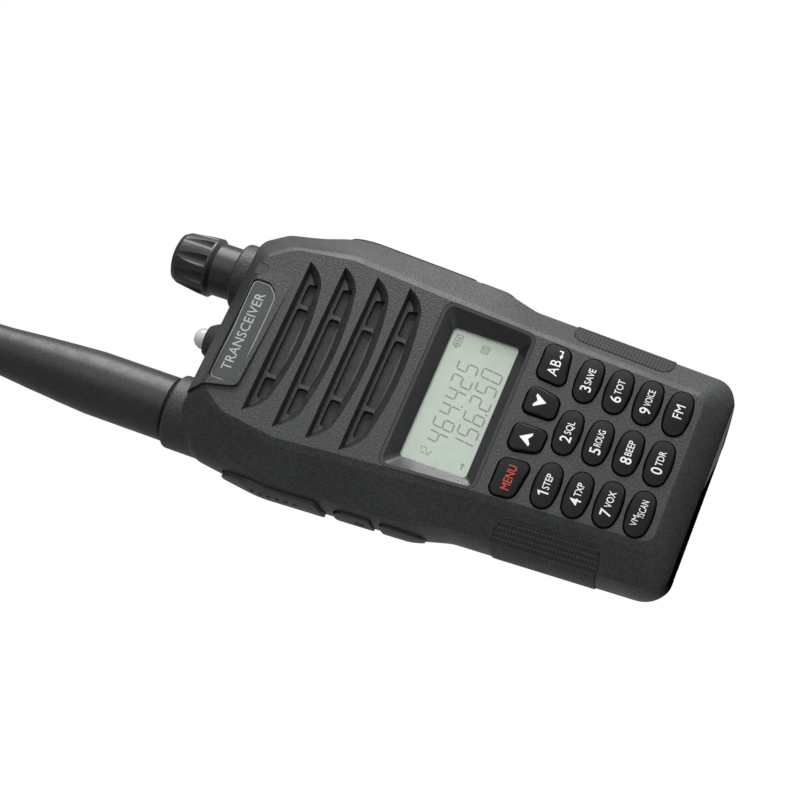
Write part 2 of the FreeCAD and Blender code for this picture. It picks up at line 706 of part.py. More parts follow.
# The striker's mortise, the bolt's room and the thumb piece's recess are cut in the chassis head.
STRIKER_FRONT = SPLIT + 6.1
STRIKER_DEEP = 3.0
STRIKER_HALF = size("striker_half")
STRIKER_RISE = size("striker_rise")
LIP = 2.0
LOCK_LOW = BATTERY_TOP + 0.9
LOCK_TALL = 1.6
BOLT_LONG = 3.8
STALK_REACH = 1.2
STALK_JOIN = 0.5
THUMB = {"left": -2.0, "right": 8.6, "low": BATTERY_TOP + 2.6, "high": BATTERY_TOP + 7.4}
LOCK_TRAVEL = size("lock_travel")
bolt_left = STRIKER_HALF + GAP
chassis = chassis.cut(block(
    -STRIKER_HALF - GAP, bolt_left + BOLT_LONG + GAP, STRIKER_FRONT - GAP, STRIKER_FRONT + STRIKER_DEEP + GAP,
    BATTERY_TOP, BATTERY_TOP + STRIKER_RISE + GAP))
THUMB_FRONT = DEPTH - 1.7
chassis = chassis.cut(block(
    THUMB["left"] - LOCK_TRAVEL - GAP, THUMB["right"] + GAP, THUMB_FRONT - GAP, DEPTH + 1,
    THUMB["low"] - GAP, THUMB["high"] + GAP))
chassis = chassis.cut(block(
    bolt_left - LOCK_TRAVEL - 0.1, bolt_left + BOLT_LONG + GAP, STRIKER_FRONT - GAP,
    THUMB_FRONT + STALK_JOIN + GAP,
    LOCK_LOW - GAP, THUMB["low"] + STALK_REACH + GAP))

# ---------------------------------------------------------------- battery

battery = rear_outside.common(block(-FAR, FAR, SPLIT + GAP, DEPTH + 1, -1, BATTERY_TOP))
WALL = size("battery_wall")
CELL_HALF = size("cell_half")
CELL_THICK = size("cell_thick")
cell_room_low = 4.5
cell_front = SPLIT + GAP + WALL - 0.4 + 0.3
battery = battery.cut(block(
    -CELL_HALF - 0.5, CELL_HALF + 0.5, cell_front - 0.3, cell_front + CELL_THICK + 0.3,
    cell_room_low, BATTERY_TOP - 3.0))
STRIKER_SEAT = 1.5
battery = battery.cut(block(
    -STRIKER_HALF - SEAT, STRIKER_HALF - LIP + SEAT, STRIKER_FRONT - SEAT,
    STRIKER_FRONT + STRIKER_DEEP + SEAT,
    BATTERY_TOP - STRIKER_SEAT, BATTERY_TOP + 1))
for side in (LEFT, RIGHT):
    battery = battery.fuse(rail_solid(side, 0.0, 2.6, BATTERY_TOP - 4))

# A notch in the battery's lower front edge guides it on to a charger.
NOTCH_HALF = 5.0
NOTCH_TALL = 1.5
battery = battery.cut(block(-NOTCH_HALF, NOTCH_HALF, SPLIT, SPLIT + GAP + NOTCH_TALL, -1, NOTCH_TALL))
battery = battery.removeSplitter()

CONTACT_X = (-6.0, 0.0, 6.0)
CONTACT_LOW = 12.0
CONTACT_TALL = 5.0
contacts = []
springs = []
for number, contact_x in enumerate(CONTACT_X):
    battery = battery.cut(block(
        contact_x - 1.6, contact_x + 1.6, SPLIT, SPLIT + GAP + 0.5, CONTACT_LOW - 0.1,
        CONTACT_LOW + CONTACT_TALL + 0.1))
    contacts.append(box(
        f"PackContact{number}", contact_x - 1.5, "split_depth + fit_gap + 0.05", CONTACT_LOW, 3, 0.45,
        CONTACT_TALL))
    chassis = chassis.cut(block(
        contact_x - 1.3, contact_x + 1.3, PLATE_FRONT - 1, SPLIT + 1, CONTACT_LOW + 0.6,
        CONTACT_LOW + CONTACT_TALL - 0.6))
    springs.append(box(
        f"RadioContact{number}", contact_x - 1.2, "split_depth - 2.6", CONTACT_LOW + 0.7, 2.4,
        "2.6 + fit_gap",
        CONTACT_TALL - 1.4))
piece("radio_contacts", group("RadioContacts", *springs))

CHARGE_X = 9.0
CHARGE_Z = 9.0
charge = []
for number, side in enumerate((LEFT, RIGHT)):
    battery = battery.cut(
        Part.makeCylinder(2.1, 2, at(side * CHARGE_X, DEPTH - 0.7, CHARGE_Z), Vector(0, 1, 0)))
    charge.append(rod(f"ChargeStud{number}", 2.0, 0.6, side * CHARGE_X, "body_depth - 0.7", CHARGE_Z, "y"))
piece("battery_contacts", group("BatteryContacts", *contacts, *charge))

cells = [
    box(f"Cell{number}", "-cell_half", cell_front, f"{cell_room_low} + 0.5 + {number} * (cell_tall + 0.6)",
        "2 * cell_half", "cell_thick", "cell_tall")
    for number in range(2)
]
piece("battery_cells", group("BatteryCells", *cells))

thumb = box("LockThumb", THUMB["left"], THUMB_FRONT, THUMB["low"], THUMB["right"] - THUMB["left"], "1.9",
            THUMB["high"] - THUMB["low"])
stalk_front = STRIKER_FRONT + STRIKER_DEEP + GAP
stalk = box("LockStalk", bolt_left + 0.3, stalk_front, LOCK_LOW, BOLT_LONG - 0.6,
            THUMB_FRONT - stalk_front + STALK_JOIN, THUMB["low"] - LOCK_LOW + STALK_REACH)
bolt = box("LockBolt", bolt_left, STRIKER_FRONT + 0.2, LOCK_LOW, BOLT_LONG, STRIKER_DEEP + 0.4, LOCK_TALL)
piece("battery_lock", fuse("BatteryLock", thumb, stalk, bolt))

# The striker is a post set in the top of the battery and a cap whose lip the bolt slides under.
cap_low = f"{LOCK_LOW + LOCK_TALL} + fit_gap"
post = box("StrikerPost", -STRIKER_HALF, STRIKER_FRONT, BATTERY_TOP - STRIKER_SEAT, 2 * STRIKER_HALF - LIP,
           STRIKER_DEEP, f"{cap_low} - {BATTERY_TOP - STRIKER_SEAT}")
cap = box("StrikerCap", -STRIKER_HALF, STRIKER_FRONT, cap_low, 2 * STRIKER_HALF, STRIKER_DEEP,
          f"{BATTERY_TOP + STRIKER_RISE} - ({cap_low})")
piece("battery_striker", group("BatteryStriker", post, cap))

shaped("front_case", front_case)
shaped("rear_chassis", chassis)
shaped("battery_case", battery)

SEAL_FRONT = SPLIT - 2.8
seal_ring = cavity(-size("side_wall") - SEAT, SEAL_FRONT + 1.2).common(
    block(-FAR, FAR, SEAL_FRONT, SEAL_FRONT + 1.2, -1, HEIGHT + 20))
seal_ring = seal_ring.cut(cavity(-size("side_wall") - SEAL + SEAT, SEAL_FRONT + 3))
seal_ring = seal_ring.common(block(-FAR, FAR, 0, DEPTH, -1, BATTERY_TOP))
for side in (LEFT, RIGHT):
    seal_ring = seal_ring.cut(rail_solid(side, GAP + SEAT, -1, 10))
shaped("case_seal", seal_ring)

# ---------------------------------------------------------------- inside the case

MAT_DEPTH = "front_wall + seat_gap + key_flange + key_travel + mat_gap"
DOME_DEPTH = f"{MAT_DEPTH} + mat_thick + 0.1"
KEY_BOARD_DEPTH = f"{MAT_DEPTH} + mat_thick + 0.6"
BOARD_DEPTH = f"{KEY_BOARD_DEPTH} + board_thick + board_gap"
lcd_front = "screen_depth + 0.85"
piece("display_module", box(
    "DisplayModule", "-screen_half - 0.5", lcd_front, "display_level - 0.1 - screen_tall / 2 - 0.5",
    "2 * screen_half + 1.0", "1.8", "screen_tall + 1.0"))
piece("display_backlight", box(
    "DisplayBacklight", "-screen_half - 1.4", f"{lcd_front} + 1.9",
    "display_level - 0.1 - screen_tall / 2 - 1.4",
    "2 * screen_half + 2.8", "1.6", "screen_tall + 2.8"))
piece("keypad_mat", box(
    "KeypadMat", "-board_half + 0.5", MAT_DEPTH, "board_low - 1.7", "2 * board_half - 1", "mat_thick",
    "command_row + 4.2 - board_low + 1.7"))
domes = [
    rod("Dome_" + name, 2.2, 0.4, x, DOME_DEPTH, z, "y") for name, (_, x, z) in keys.items()
]
piece("key_domes", group("KeyDomes", *domes))
piece("keypad_board", box(
    "KeypadBoard", "-board_half + 0.5", KEY_BOARD_DEPTH, "board_low - 1.4", "2 * board_half - 1",
    "board_thick", "command_row + 4.2 - board_low + 1.4"))
piece("main_board", box(
    "MainBoard", "-board_half", BOARD_DEPTH, "board_low", "2 * board_half", "board_thick",
    "board_high - board_low"))
piece("shield_can", box("ShieldCan", -15, f"{BOARD_DEPTH} + board_thick + 0.05", 22, 30, 3.4, 40))

speaker_front = "front_wall + 0.9"
speaker_frame = rod("SpeakerFrame", "speaker_radius", 2.4, 0, speaker_front, "speaker_level", "y")
speaker_back = rod("SpeakerBack", "speaker_radius - 4", 4.2, 0, speaker_front, "speaker_level", "y")
piece("speaker", fuse("Speaker", speaker_frame, speaker_back))
felt_low = f"louvre_top - {LOUVRES - 1} * louvre_pitch - 5.0"
piece("speaker_felt", box(
    "SpeakerFelt", "-louvre_half + 2.0", "front_wall + 0.2", felt_low, "2 * louvre_half - 4.0", 0.5,
                          f"louvre_top + 0.2 - ({felt_low})"))
piece("microphone",
    rod("Microphone", 2.0, 2.4, "speaker_radius - 1.5", "front_wall + 0.9",
        "louvre_top - 3.6 * louvre_pitch", "y"))

side_board = box("SideBoard", "-hip_half + side_wall + 3.6", 7.2, 53, 1.0, 9.5, 38)
piece("side_switch_board", side_board)
switches = [
    box(f"SideSwitch{number}", "-hip_half + side_wall + 2.3", 11.2, level, 1.3, 3.6, 4.0)
    for number, level in enumerate((57.0, 65.5, 84.0))
]
piece("side_switches", group("SideSwitches", *switches))

# ---------------------------------------------------------------- aerial, torch and volume control

AERIAL_FOOT = "body_height + boss_rise + fit_gap"


def origin_plane(body, role):
    return next(item for item in body.Origin.OriginFeatures if item.Role == role)


def turned(name, x, profile):
    """A body turned about its own upright axis: profile corners are (radius, height) expressions."""
    body = doc.addObject("PartDesign::Body", name)
    place(body, x, "deck_depth", "0")
    sketch = body.newObject("Sketcher::SketchObject", name + "Profile")
    sketch.AttachmentSupport = (origin_plane(body, "XZ_Plane"), [""])
    sketch.MapMode = "FlatFace"
    spots = [Vector(size(radius), size(level), 0) for radius, level in profile]
    for i, spot in enumerate(spots):
        sketch.addGeometry(Part.LineSegment(spot, spots[(i + 1) % len(spots)]), False)
    for i in range(len(spots)):
        sketch.addConstraint(Sketcher.Constraint("Coincident", i, 2, (i + 1) % len(spots), 1))
    for i, (radius, level) in enumerate(profile):
        if spots[i].x < 0.001:
            sketch.addConstraint(Sketcher.Constraint("PointOnObject", i, 1, -2))
        else:
            number = sketch.addConstraint(Sketcher.Constraint("DistanceX", -1, 1, i, 1, spots[i].x))
            sketch.setExpression(f"Constraints[{number}]", expression(radius))
        number = sketch.addConstraint(Sketcher.Constraint("DistanceY", -1, 1, i, 1, spots[i].y))
        sketch.setExpression(f"Constraints[{number}]", expression(level))
    turning = body.newObject("PartDesign::Revolution", name + "Turned")
    turning.Profile = sketch
    turning.ReferenceAxis = (sketch, ["V_Axis"])
    turning.Angle = 360
    doc.recompute()
    body.Tip = turning
    return body


FOOT_TALL = 12.0
TIP = f"{AERIAL_FOOT} + aerial_length"
sleeve = turned("AerialSleeve", "-aerial_side", [
    ("aerial_bore", AERIAL_FOOT), ("aerial_radius - 0.5", AERIAL_FOOT),
    ("aerial_radius", f"{AERIAL_FOOT} + 0.6"),
    ("aerial_radius - 0.05", f"{AERIAL_FOOT} + 19.5"), ("aerial_radius - 0.5", f"{AERIAL_FOOT} + 26.5"),
    ("aerial_radius - 1.1", f"{AERIAL_FOOT} + 34.5"), ("aerial_radius - 1.75", f"{AERIAL_FOOT} + 42"),
    ("aerial_radius - 2.2", f"{AERIAL_FOOT} + 52"), ("aerial_tip_radius + 0.2", f"{TIP} - 30"),
    ("aerial_tip_radius", f"{TIP} - 3"), ("aerial_tip_radius * 0.72", f"{TIP} - 0.8"),
    ("aerial_tip_radius * 0.3", TIP),
    ("0", TIP), ("0", f"{TIP} - 6"), ("1.4", f"{TIP} - 6"), ("1.4", f"{AERIAL_FOOT} + {FOOT_TALL}"),
    ("aerial_bore", f"{AERIAL_FOOT} + {FOOT_TALL}"),
])
piece("aerial_sleeve", sleeve)
ferrule = turned("AerialFerrule", "-aerial_side", [
    ("socket_radius + running_gap", f"{AERIAL_FOOT} + 0.2"), ("aerial_bore - 0.05", f"{AERIAL_FOOT} + 0.2"),
    ("aerial_bore - 0.05", f"{AERIAL_FOOT} + {FOOT_TALL} - 0.1"),
    ("1.0", f"{AERIAL_FOOT} + {FOOT_TALL} - 0.1"),
    ("1.0", f"{AERIAL_FOOT} + 8.5"), ("socket_radius + running_gap", f"{AERIAL_FOOT} + 8.5"),
])
piece("aerial_ferrule", ferrule)
piece("aerial_coil", rod("AerialCoil", 1.1, "aerial_length - 20", "-aerial_side", "deck_depth",
                         f"{AERIAL_FOOT} + {FOOT_TALL} + 0.2"))
socket = turned("AerialSocket", "-aerial_side", [
    ("0.6", "body_height - 7"), ("6.4", "body_height - 7"), ("6.4", "body_height - 4.5"),
    ("socket_radius", "body_height - 4.5"), ("socket_radius", f"{AERIAL_FOOT} + 7.6"),
    ("0.6", f"{AERIAL_FOOT} + 7.6"),
])
piece("aerial_socket", socket)
nut_low = f"body_height + boss_rise - {NUT_THICK}"


def deck_nut(name, x, bore):
    """A round nut sunk in the top of its boss."""
    return turned(name, x, [
        (bore, nut_low), ("5.3", nut_low), ("5.3", f"{nut_low} + 1.8"), (bore, f"{nut_low} + 1.8")])



holder = turned("TorchHolder", "-torch_side", [
    ("torch_radius + seat_gap", "body_height - 1"), ("torch_radius + fit_gap - 0.05", "body_height - 1"),
    ("torch_radius + fit_gap - 0.05", "body_height + 0.02"), (str(HOLDER_RADIUS), "body_height + 0.02"),
    ("4.9", "body_height + 0.8"), ("4.0", "body_height + 2.6"), ("3.4", "body_height + 3.6"),
    ("torch_radius + seat_gap", "body_height + 3.8"),
])
piece("torch_holder", holder)
lamp = turned("TorchLamp", "-torch_side", [
    ("0", "body_height - 4.4"), ("torch_radius + 0.4", "body_height - 4.4"),
    ("torch_radius + 0.4", "body_height - 3.4"),
    ("torch_radius", "body_height - 3.4"), ("torch_radius", "body_height + 4.2"),
    ("torch_radius * 0.94", "body_height + 5.1"), ("torch_radius * 0.78", "body_height + 5.9"),
    ("torch_radius * 0.5", "body_height + 6.5"), ("torch_radius * 0.2", "body_height + 6.75"),
    ("0", "body_height + 6.8"),
])
piece("torch_lamp", lamp)

GRIP_FOOT = f"{AERIAL_FOOT} + knob_neck_height"
KNOB_TOP = f"{AERIAL_FOOT} + knob_height"
SHAFT_TOP = f"{AERIAL_FOOT} + knob_height - 4"
knob = turned("VolumeKnob", "knob_side", [
    ("shaft_radius + running_gap", AERIAL_FOOT), ("knob_neck_radius", AERIAL_FOOT),
    ("knob_neck_radius", GRIP_FOOT),
    ("knob_radius", f"{GRIP_FOOT} + 0.9"), ("knob_radius - 0.2", f"{GRIP_FOOT} + 3.5"),
    ("knob_radius - 0.9", f"{KNOB_TOP} - 1.6"), ("knob_radius - 1.5", f"{KNOB_TOP} - 0.5"),
    ("knob_radius - 2.6", KNOB_TOP), ("0", KNOB_TOP), ("0", f"{SHAFT_TOP} + 0.2"),
    ("shaft_radius + running_gap", f"{SHAFT_TOP} + 0.2"),
])


FLUTE_RADIUS = 1.7


def flute_knob(body):
    """Cut one flute into the grip from above and repeat it round the axis."""
    sketch = body.newObject("Sketcher::SketchObject", "FluteOutline")
    sketch.AttachmentSupport = (origin_plane(body, "XY_Plane"), [""])
    sketch.MapMode = "FlatFace"
    sketch.AttachmentOffset = Placement(Vector(0, 0, size(GRIP_FOOT) + 1.4), Rotation())
    sketch.setExpression("AttachmentOffset.Base.z", expression(f"{GRIP_FOOT} + 1.4"))
    sketch.addGeometry(
        Part.Circle(Vector(size("knob_radius + 0.7"), 0, 0), Vector(0, 0, 1), FLUTE_RADIUS), False)
    sketch.addConstraint(Sketcher.Constraint("PointOnObject", 0, 3, -1))
    number = sketch.addConstraint(Sketcher.Constraint("DistanceX", -1, 1, 0, 3, size("knob_radius + 0.7")))
    sketch.setExpression(f"Constraints[{number}]", expression("knob_radius + 0.7"))
    sketch.addConstraint(Sketcher.Constraint("Radius", 0, FLUTE_RADIUS))
    flute = body.newObject("PartDesign::Pocket", "Flute")
    flute.Profile = sketch
    flute.Length = 20
    flute.Reversed = True
    doc.recompute()
    before = body.Shape.Volume
    body.Tip = flute
    pattern = body.newObject("PartDesign::PolarPattern", "Flutes")
    pattern.Originals = [flute]
    pattern.Axis = (sketch, ["N_Axis"])
    pattern.Angle = 360
    pattern.setExpression("Occurrences", expression("knob_flutes"))
    body.Tip = pattern
    doc.recompute()
    print("knob volume before and after its flutes", round(before, 1), round(body.Shape.Volume, 1))


flute_knob(knob)
piece("volume_knob", knob)
piece("volume_shaft", rod(
    "VolumeShaft", "shaft_radius", f"{SHAFT_TOP} - body_height + 9", "knob_side", "deck_depth",
                          "body_height - 9"))
control = turned("VolumeControl", "knob_side", [
    ("shaft_radius + running_gap", CONTROL_FOOT), (str(CONTROL_RADIUS), CONTROL_FOOT),
    (str(CONTROL_RADIUS), CONTROL_TOP), ("3.6", CONTROL_TOP), ("3.6", f"{nut_low} + 1.9"),
    ("shaft_radius + running_gap", f"{nut_low} + 1.9"),
])
piece("volume_control", control)
piece("deck_nuts", group(
    "DeckNuts", deck_nut("AerialNut", "-aerial_side", "socket_radius + running_gap"),
    deck_nut("VolumeNut", "knob_side", "3.65")))

screws = []
for number, side in enumerate((LEFT, RIGHT)):
    shank = rod(f"ScrewShank{number}", 0.95, 8.0, side * SCREW_X, "split_depth - 1.3 - 8.0", SCREW_Z, "y")
    top = rod(f"ScrewHead{number}", 1.9, 1.2, side * SCREW_X, "split_depth - 1.3", SCREW_Z, "y")
    screws.append(fuse(f"Screw{number}", shank, top))
piece("case_screws", group("CaseScrews", *screws))

# ---------------------------------------------------------------- checks and files

doc.recompute()
faults = []
for thing in doc.Objects:
    if "Invalid" in thing.State or "Error" in thing.State:
        faults.append(f"{thing.Name}: {thing.State}")
for label, thing in pieces.items():
    if thing.Shape.isNull() or not thing.Shape.isValid() or not thing.Shape.Solids:
        faults.append(f"{label}: shape null, empty or invalid")
if faults:
    sys.exit("; ".join(faults))

os.makedirs("parts", exist_ok=True)
for old in os.listdir("parts"):
    if old.endswith(".step"):
        os.remove(os.path.join("parts", old))
for label, thing in pieces.items():
    thing.Shape.exportStep(f"parts/{label}.step")
    print(label, len(thing.Shape.Solids), round(thing.Shape.Volume, 1))
print(len(pieces), "pieces")
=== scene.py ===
# %% [markdown]
# # Finishing a handheld two-way radio
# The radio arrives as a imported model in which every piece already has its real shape, size and place.
# This script gives each piece the surface it would have in the hand, and adds the fine things that a
# mould, a printing pad or an engraver adds to the shape: legends on the keys, figures on the screen,
# a grid on the rubber grips and small bumps on the talk button.

import math

import bmesh
import bpy
from mathutils import Matrix, Vector


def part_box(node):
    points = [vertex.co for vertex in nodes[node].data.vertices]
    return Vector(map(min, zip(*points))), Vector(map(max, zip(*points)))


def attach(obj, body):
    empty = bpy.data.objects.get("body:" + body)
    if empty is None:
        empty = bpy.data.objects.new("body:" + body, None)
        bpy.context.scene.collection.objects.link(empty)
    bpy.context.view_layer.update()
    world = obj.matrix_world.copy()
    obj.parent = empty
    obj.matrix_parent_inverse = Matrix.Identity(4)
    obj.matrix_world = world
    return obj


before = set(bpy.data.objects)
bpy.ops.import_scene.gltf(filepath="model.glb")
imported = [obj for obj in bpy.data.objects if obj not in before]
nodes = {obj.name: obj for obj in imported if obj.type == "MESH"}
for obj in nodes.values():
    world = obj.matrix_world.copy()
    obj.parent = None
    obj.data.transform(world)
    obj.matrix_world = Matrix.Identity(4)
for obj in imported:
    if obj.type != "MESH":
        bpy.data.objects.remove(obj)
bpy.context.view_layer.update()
MM = 0.001

# %% [markdown]
# ## Surfaces
# Nothing on a real object is one flat colour.  Moulded plastic carries a fine grain etched into the
# mould, rubber has a dusty bloom, gloss paint has hairlines and fingerprints.  One recipe covers them
# all: a colour that drifts a little, a roughness that drifts with wear, and a grain that is felt as
# tiny bumps.  The recipe works in the piece's own coordinates, in metres, so a grain of 0.3 mm is
# 0.3 mm on every piece and stays in place when a piece moves.


# %% A recipe for moulded, painted and turned surfaces
def link(material, source, target):
    material.node_tree.links.new(source, target)


def add(material, kind, **settings):
    node = material.node_tree.nodes.new(kind)
    for name, value in settings.items():
        if name in node.inputs:
            node.inputs[name].default_value = value
        else:
            setattr(node, name, value)
    return node


def noise(material, size_mm, detail=4.0, roughness=0.55):
    """A noise whose features are about size_mm across, in the piece's own space."""
    place = add(material, "ShaderNodeTexCoord")
    texture = add(material, "ShaderNodeTexNoise",
                  Scale=1 / (size_mm * MM), Detail=detail, Roughness=roughness)
    link(material, place.outputs["Object"], texture.inputs["Vector"])
    return texture.outputs["Fac"]


def drift(material, source, low, high, target):
    """Spread a 0-1 pattern between two values and feed a socket with it."""
    ramp = add(material, "ShaderNodeMapRange")
    ramp.inputs["From Min"].default_value = 0.35
    ramp.inputs["From Max"].default_value = 0.65
    ramp.inputs["To Min"].default_value = low
    ramp.inputs["To Max"].default_value = high
    link(material, source, ramp.inputs["Value"])
    link(material, ramp.outputs["Result"], target)


def tint(material, source, dark, light, target):
    mix = add(material, "ShaderNodeMix", data_type="RGBA")
    mix.inputs[6].default_value = (*dark, 1)
    mix.inputs[7].default_value = (*light, 1)
    link(material, source, mix.inputs[0])
    link(material, mix.outputs[2], target)


def joined(material, operation, first, second):
    node = add(material, "ShaderNodeMath", operation=operation)
    link(material, first, node.inputs[0])
    link(material, second, node.inputs[1])
    return node.outputs[0]


def surface(name, colour, rough=(0.4, 0.55), grain_mm=0.35, grain_depth=0.02, patch_mm=14, spread=0.12,
            metallic=0.0, coat=0.0, ior=1.46, speckle=1.0):
    """A procedural surface: colour and roughness drift in patches and from grain to grain, and the
    grain is felt as bumps.  speckle is how much the single grains show beside the patches."""
    material = bpy.data.materials.new(name)
    material.use_nodes = True
    shader = material.node_tree.nodes["Principled BSDF"]
    shader.inputs["Metallic"].default_value = metallic
    shader.inputs["IOR"].default_value = ior
    shader.inputs["Coat Weight"].default_value = coat
    shader.inputs["Coat Roughness"].default_value = 0.08
    patches = noise(material, patch_mm, 5.0, 0.62)
    grain = noise(material, grain_mm, 3.0, 0.6)
    dark = tuple(c * (1 - spread) for c in colour)
    light = tuple(c * (1 + spread) for c in colour)
    fine = add(material, "ShaderNodeMapRange")
    fine.inputs["From Min"].default_value, fine.inputs["From Max"].default_value = 0.3, 0.7
    fine.inputs["To Min"].default_value, fine.inputs["To Max"].default_value = -speckle / 2, speckle / 2
    link(material, grain, fine.inputs["Value"])
    tint(material, joined(material, "ADD", patches, fine.outputs["Result"]), dark, light,
         shader.inputs["Base Color"])
    drift(material, noise(material, patch_mm * 0.4, 6.0, 0.7), *rough, shader.inputs["Roughness"])
    bump = add(material, "ShaderNodeBump", Strength=1.0, Distance=grain_depth * MM)
    link(material, grain, bump.inputs["Height"])
    link(material, bump.outputs["Normal"], shader.inputs["Normal"])
    return material


def finish(material, *names):
    for name in names:
        piece = nodes[name]
        piece.data.materials.clear()
        piece.data.materials.append(material)


# %% [markdown]
# ## The case
# The front case is one injection moulding in glass-filled plastic.  Its mould is spark-eroded, which
# leaves an even, pebbly grain: it hides sink marks and scratches, and gives the face its soft grey
# sheen.  The chassis behind it is a zinc or aluminium die casting under black powder paint, so its
# grain is coarser and it is a little glossier.

# %% Case, chassis and battery
case_plastic = surface("case_plastic", (0.0155, 0.0172, 0.0182), (0.40, 0.50), 0.50, 0.13, 16, 0.45,
                       speckle=2.0)
chassis_paint = surface("chassis_paint", (0.014, 0.0145, 0.0155), (0.36, 0.48), 0.50, 0.10, 18, 0.35,
                        speckle=1.5)
battery_plastic = surface("battery_plastic", (0.0145, 0.0155, 0.0165), (0.44, 0.56), 0.50, 0.12, 20, 0.4,
                          speckle=2.0)
finish(case_plastic, "front_case")
finish(chassis_paint, "rear_chassis")
finish(battery_plastic, "battery_case")
print("case surfaces", [m.name for m in (case_plastic, chassis_paint, battery_plastic)])

# %% [markdown]
# ## Rubber
# Grips, jack cover and aerial are moulded in rubber: darker than the case, with broad soft
# reflections.  The aerial is a spring in a thick sleeve, and its skin is slightly uneven where the
# rubber flowed round the spring.

# %% Rubber surfaces
grip_rubber = surface("grip_rubber", (0.013, 0.0133, 0.014), (0.5, 0.64), 0.25, 0.02, 9, 0.15)
aerial_rubber = surface("aerial_rubber", (0.0125, 0.0128, 0.0135), (0.34, 0.46), 0.9, 0.05, 7, 0.35)
button_rubber = surface("button_rubber", (0.0145, 0.015, 0.0158), (0.42, 0.56), 0.28, 0.025, 8, 0.14)
finish(grip_rubber, "jack_cover", "jack_cover_anchor", "case_seal", "keypad_mat", "torch_holder")
finish(aerial_rubber, "aerial_sleeve")
finish(button_rubber, "ptt_button", "side_button_upper", "side_button_lower")

# %% [markdown]
# The grips carry a fine square grid, cut into their mould so that a wet thumb holds.  A grid is two
# sets of grooves.  Each set is the distance to the nearest line of a ruler laid along one direction,
# and the higher of the two sets is the height of the rubber between the grooves.


# %% Grip rubber with its square grid
def ruled(material, axis, pitch_mm, sharpness=3.0):
    """Height of a row of grooves across one axis: 0 in a groove, 1 on the land between two."""
    place = add(material, "ShaderNodeTexCoord")
    split = add(material, "ShaderNodeSeparateXYZ")
    link(material, place.outputs["Object"], split.inputs["Vector"])
    wave = add(material, "ShaderNodeMath", operation="PINGPONG")
    wave.inputs[1].default_value = pitch_mm * MM / 2
    link(material, split.outputs[axis], wave.inputs[0])
    land = add(material, "ShaderNodeMath", operation="MULTIPLY", use_clamp=True)
    land.inputs[1].default_value = sharpness / (pitch_mm * MM)
    link(material, wave.outputs[0], land.inputs[0])
    return land.outputs[0]


GRID_PITCH = 0.75
GRID_DEPTH = 0.22 * MM
grid_rubber = surface("grid_rubber", (0.013, 0.0133, 0.014), (0.48, 0.6), 0.2, 0.01, 9, 0.15)
lands = joined(grid_rubber, "MINIMUM", ruled(grid_rubber, "Y", GRID_PITCH), ruled(grid_rubber, "Z", GRID_PITCH))
grid_bump = add(grid_rubber, "ShaderNodeBump", Strength=1.0, Distance=GRID_DEPTH)
link(grid_rubber, lands, grid_bump.inputs["Height"])
shader = grid_rubber.node_tree.nodes["Principled BSDF"]
link(grid_rubber, shader.inputs["Normal"].links[0].from_socket, grid_bump.inputs["Normal"])
link(grid_rubber, grid_bump.outputs["Normal"], shader.inputs["Normal"])
finish(grid_rubber, "grip_left", "grip_right")
print("grid pitch", GRID_PITCH, "mm")

# %% [markdown]
# ## Glossy plastics
# Key caps are moulded in polished black plastic, printed, and then lacquered against wear.  The frame round
# the screen is polished too.  The knob is satin, since fingers would soon mark a polished one.

# %% Keys, screen frame, knob and lock
key_gloss = surface("key_gloss", (0.0042, 0.0043, 0.0047), (0.32, 0.42), 1.6, 0.004, 6, 0.2, ior=1.27)
frame_gloss = surface("frame_gloss", (0.0075, 0.0078, 0.0084), (0.26, 0.38), 2.2, 0.003, 9, 0.2, coat=0.12)
knob_satin = surface("knob_satin", (0.011, 0.0112, 0.012), (0.30, 0.40), 0.4, 0.01, 6, 0.15)
KEYS = sorted(name for name in nodes if name.startswith("key_") and name != "key_domes")
finish(key_gloss, *KEYS)
finish(frame_gloss, "display_frame")
finish(knob_satin, "volume_knob", "battery_lock")
print(len(KEYS), "keys")

# %% [markdown]
# ## Clear pieces
# The window over the screen, the torch's dome and the status lens are clear plastic.  The window is
# thin, so it hardly bends the light; the torch's dome is a solid lens that gathers bright streaks.


# %% Clear and tinted plastic
def clear(name, colour, rough, transmission=1.0):
    material = bpy.data.materials.new(name)
    material.use_nodes = True
    shader = material.node_tree.nodes["Principled BSDF"]
    shader.inputs["IOR"].default_value = 1.49
    shader.inputs["Transmission Weight"].default_value = transmission
    tint(material, noise(material, 5.0), tuple(c * 0.94 for c in colour), colour, shader.inputs["Base Color"])
    drift(material, noise(material, 3.0, 6.0, 0.7), rough, rough + 0.05, shader.inputs["Roughness"])
    bump = add(material, "ShaderNodeBump", Strength=1.0, Distance=0.002 * MM)
    link(material, noise(material, 2.5), bump.inputs["Height"])
    link(material, bump.outputs["Normal"], shader.inputs["Normal"])
    return material


finish(clear("window_clear", (0.95, 0.97, 0.95), 0.02), "display_window")
finish(clear("lamp_clear", (0.80, 0.82, 0.83), 0.16, 0.45), "torch_lamp")
finish(clear("lens_tinted", (0.03, 0.032, 0.03), 0.08, 0.3), "status_lens")

# %% [markdown]
# ## Pieces that are mostly hidden
# They show when the battery is off, the jack cover is open or through the louvres, so each gets the
# metal, board or cloth it is made of.

